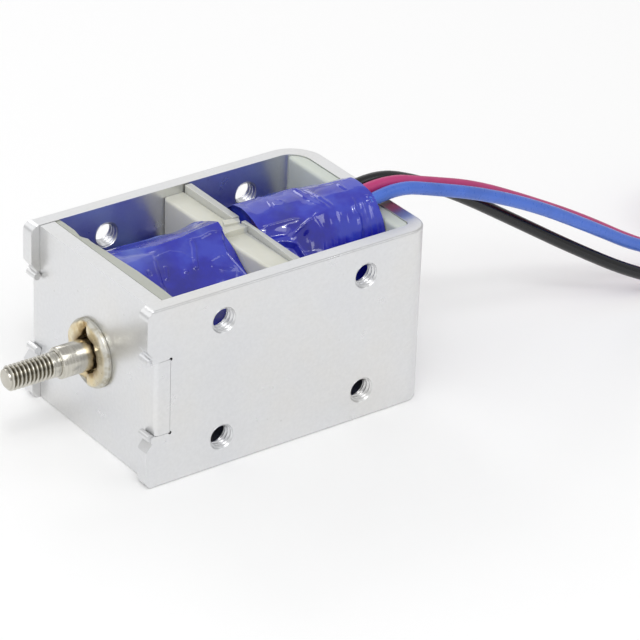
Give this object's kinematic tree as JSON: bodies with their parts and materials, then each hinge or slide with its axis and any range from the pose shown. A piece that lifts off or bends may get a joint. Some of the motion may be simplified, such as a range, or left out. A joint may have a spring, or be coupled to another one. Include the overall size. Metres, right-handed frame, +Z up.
{
  "type": "push pull solenoid",
  "caption": "Open-frame push-pull solenoid: bent steel frame, twin taped coils on moulded bobbins, sliding plunger with a threaded rod through a brass bush, and coloured flying leads",
  "frame": {"origin": "Under the middle of the solenoid, leads apart, on the plane of the frame's lower edges", "axes": "+X runs along the rod from its threaded front end to the rear plate, +Y points to the far side plate, +Z is up and the frame stands on its lower edges"},
  "size_m": [0.1602, 0.0344, 0.0341],
  "materials": {
    "zinc_steel": "bright zinc plate, satin",
    "pole_steel": "machined",
    "stainless": "turned and polished",
    "bush_brass": "pale, lightly nickel-washed",
    "tube_brass": "drawn",
    "bobbin_nylon": "natural, slightly translucent",
    "magnet": "nickel plate",
    "copper_wire": "enamelled copper wire",
    "blue_tape": "glossy film",
    "spring_steel": "oiled",
    "shim": "rolled",
    "blue_insulation": "satin",
    "red_insulation": "satin",
    "black_insulation": "satin"
  },
  "bodies": {
    "solenoid": {"u_frame": "zinc_steel", "front_plate": "zinc_steel", "front_bush": "bush_brass", "front_pole": "pole_steel", "rear_pole": "pole_steel", "rear_bush": "bush_brass", "guide_tube": "tube_brass", "front_bobbin": "bobbin_nylon", "rear_bobbin": "bobbin_nylon", "near_magnet": "magnet", "far_magnet": "magnet", "front_winding": "copper_wire", "rear_winding": "copper_wire", "front_coil_tape": "blue_tape", "rear_coil_tape": "blue_tape", "blue_lead": "blue_insulation", "blue_lead_coil": "blue_insulation", "red_lead": "red_insulation", "red_lead_coil": "red_insulation", "black_lead": "black_insulation", "black_lead_coil": "black_insulation"},
    "plunger_and_rod": {"push_rod": "stainless", "plunger": "pole_steel", "front_stop_washer": "shim", "rear_stop_washer": "shim", "front_clip": "spring_steel", "rear_clip": "spring_steel"}
  },
  "joints": [
    {"name": "plunger_slide", "type": "slide", "parent": "solenoid", "child": "plunger_and_rod", "axis": [1, 0, 0], "range_m": [0, 0.004]}
  ]
}
